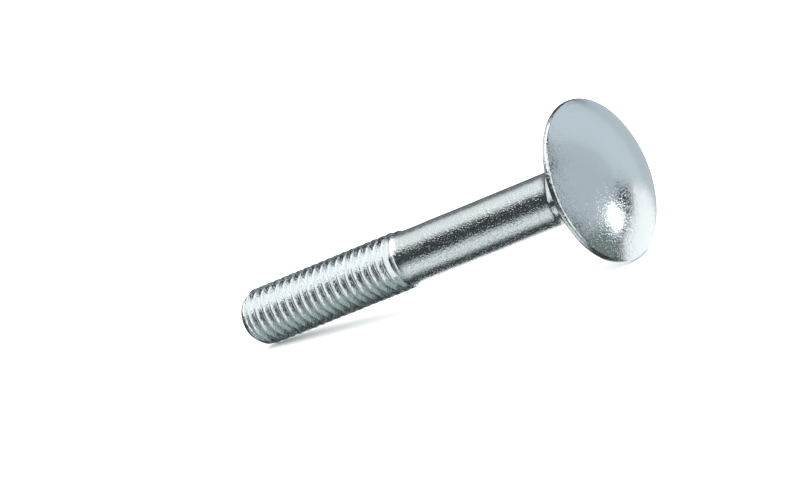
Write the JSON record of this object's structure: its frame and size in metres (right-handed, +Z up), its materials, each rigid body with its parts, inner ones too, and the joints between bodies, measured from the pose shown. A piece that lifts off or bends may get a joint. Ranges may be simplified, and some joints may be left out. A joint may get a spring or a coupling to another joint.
{
  "type": "carriage bolt",
  "caption": "Carriage bolt with a low domed round head, a square neck, a plain round shank and a rolled thread at the end, lying on its side.",
  "frame": {"origin": "middle of the bolt's box, on the surface that it lies on", "axes": "+X along the bolt's length towards the domed head, +Z up; the bolt's own axis rises 6.69 degrees towards the head, because the head is wider than the thread"},
  "size_m": [0.0472, 0.016, 0.0159],
  "materials": {
    "zinc_plated_steel": "bright zinc plated, clear passivated, over cold-formed steel"
  },
  "bodies": {
    "root": {"carriage_bolt": "zinc_plated_steel"}
  },
  "joints": []
}
